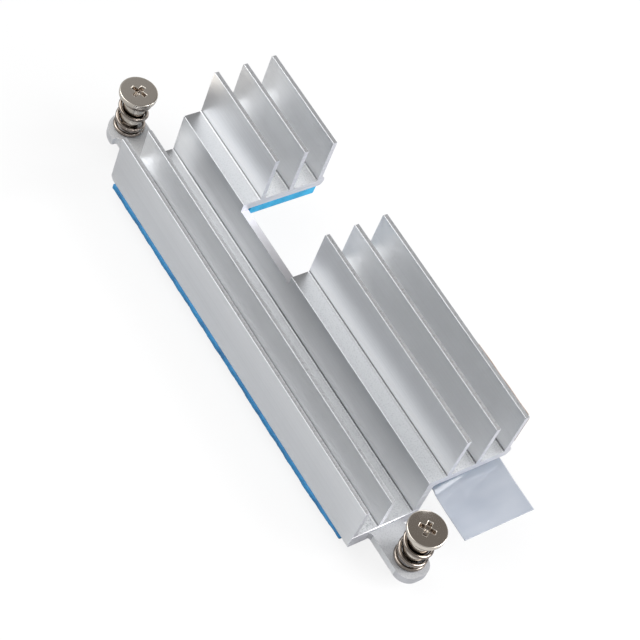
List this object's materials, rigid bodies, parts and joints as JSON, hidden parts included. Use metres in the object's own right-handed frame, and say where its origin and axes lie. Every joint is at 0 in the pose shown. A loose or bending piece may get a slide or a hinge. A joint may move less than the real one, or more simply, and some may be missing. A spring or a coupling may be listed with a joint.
{
  "type": "voltage regulator heat sink",
  "caption": "Stepped aluminium finned heat sink for board voltage regulators, with thermal pads and captive spring screws.",
  "frame": {"origin": "midway between the axes of the two screws, on the board's surface, which is the underside of the low thermal pad", "axes": "+X along the extruded bar towards the near screw, +Y across the bar from its low side to its high side, +Z away from the board"},
  "size_m": [0.1276, 0.0367, 0.0318],
  "materials": {
    "extrusion": "satin extruded, bare",
    "thermal_pad": "matte filled silicone",
    "release_film": "clear glossy film",
    "amber_tape": "clear amber film tape",
    "plated_steel": "nickel plated",
    "clip_steel": "bright rolled",
    "spring_steel": "nickel plated wire"
  },
  "bodies": {
    "heat_sink": {"heat_sink": "extrusion", "low_thermal_pad": "thermal_pad", "far_thermal_pad": "thermal_pad", "near_thermal_pad": "thermal_pad", "release_liner": "release_film", "insulating_tape": "amber_tape", "near_spring": "spring_steel", "far_spring": "spring_steel"},
    "near_carrier": {"near_retaining_clip": "clip_steel"},
    "near_screw": {"near_screw": "plated_steel"},
    "far_carrier": {"far_retaining_clip": "clip_steel"},
    "far_screw": {"far_screw": "plated_steel"}
  },
  "joints": [
    {"name": "near_screw_press", "type": "slide", "parent": "heat_sink", "child": "near_carrier", "axis": [0, 0, -1], "range_m": [0, 0.003], "stiffness_N_per_m": 6900, "deforming": ["near_spring"]},
    {"name": "near_screw_turn", "type": "hinge", "parent": "near_carrier", "child": "near_screw", "pos_m": [0.05925, 0, 0], "axis": [0, 0, 1], "continuous": true},
    {"name": "far_screw_press", "type": "slide", "parent": "heat_sink", "child": "far_carrier", "axis": [0, 0, -1], "range_m": [0, 0.003], "stiffness_N_per_m": 6900, "deforming": ["far_spring"]},
    {"name": "far_screw_turn", "type": "hinge", "parent": "far_carrier", "child": "far_screw", "pos_m": [-0.05925, 0, 0], "axis": [0, 0, 1], "continuous": true}
  ]
}
